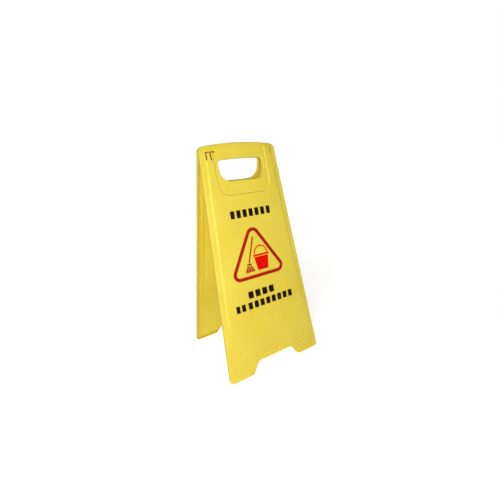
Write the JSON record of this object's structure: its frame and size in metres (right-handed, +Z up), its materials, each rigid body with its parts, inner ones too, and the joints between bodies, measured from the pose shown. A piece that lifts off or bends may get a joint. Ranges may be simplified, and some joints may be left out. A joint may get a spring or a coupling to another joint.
{
  "type": "wet floor sign",
  "caption": "Folding A-frame floor warning sign: two moulded leaves with a carrying handle, hinged at the head, with printed markings on both faces.",
  "frame": {"origin": "on the floor, at the centre of the footprint of the opened sign", "axes": "+Z up; X across the sign; the front leaf stands on the -Y side and the rear leaf on the +Y side; the fold axis is parallel to X"},
  "size_m": [0.2994, 0.2666, 0.6067],
  "materials": {
    "leaf_plastic": "injection moulded polypropylene, soft satin sheen",
    "black_ink": "screen-printed ink film",
    "dark_red_ink": "screen-printed ink film",
    "red_ink": "screen-printed ink film",
    "pin_steel": "bright drawn wire pin with a formed head"
  },
  "bodies": {
    "front": {"front_leaf": "leaf_plastic", "front_heading_bar": "black_ink", "front_warning_triangle": "dark_red_ink", "front_pail_pictogram": "red_ink", "front_mop_pictogram": "dark_red_ink", "front_legend_line_upper": "black_ink", "front_legend_line_lower": "black_ink", "hinge_pin_left": "pin_steel", "hinge_pin_right": "pin_steel"},
    "rear": {"rear_leaf": "leaf_plastic", "rear_heading_bar": "black_ink", "rear_warning_triangle": "dark_red_ink", "rear_pail_pictogram": "red_ink", "rear_mop_pictogram": "dark_red_ink", "rear_legend_line_upper": "black_ink", "rear_legend_line_lower": "black_ink"}
  },
  "joints": [
    {"name": "leaf_fold", "type": "hinge", "parent": "front", "child": "rear", "pos_m": [0, 0, 0.58194], "axis": [-1, 0, 0], "range_deg": [0, 23.8]}
  ]
}
